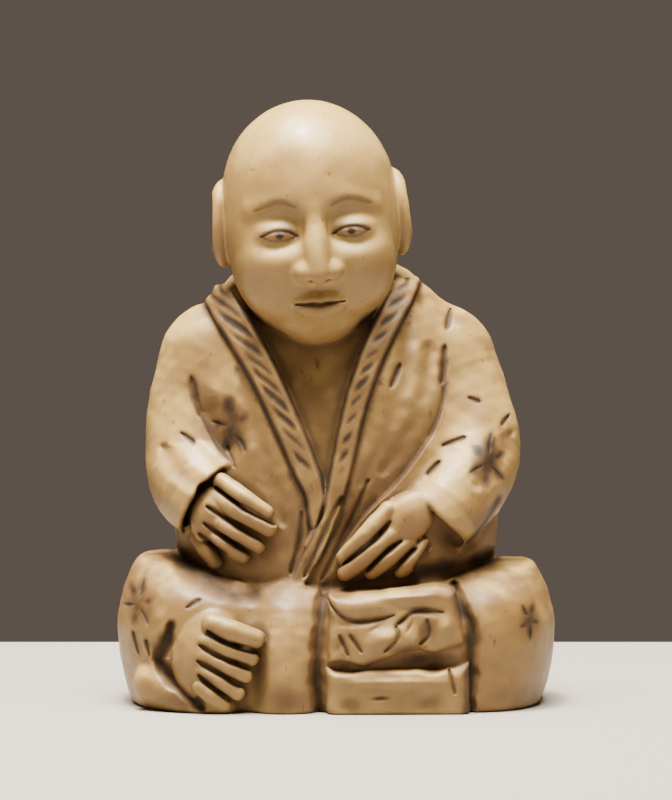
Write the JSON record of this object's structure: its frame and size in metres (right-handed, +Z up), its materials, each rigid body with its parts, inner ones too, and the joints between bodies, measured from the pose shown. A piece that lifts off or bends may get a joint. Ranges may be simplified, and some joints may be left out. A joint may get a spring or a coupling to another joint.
{
  "type": "netsuke",
  "caption": "Carved bone netsuke: a bald man in a kimono sits cross-legged, hands in his lap, with a cord tunnel from the back to the flat underside.",
  "frame": {"origin": "middle of the flat underside, on the surface it stands on", "axes": "+Z up through the head, the figure faces -Y, +X to the right as seen from in front"},
  "size_m": [0.04, 0.0288, 0.055],
  "materials": {
    "bone": "satin"
  },
  "bodies": {
    "root": {"seated_man": "bone"}
  },
  "joints": []
}
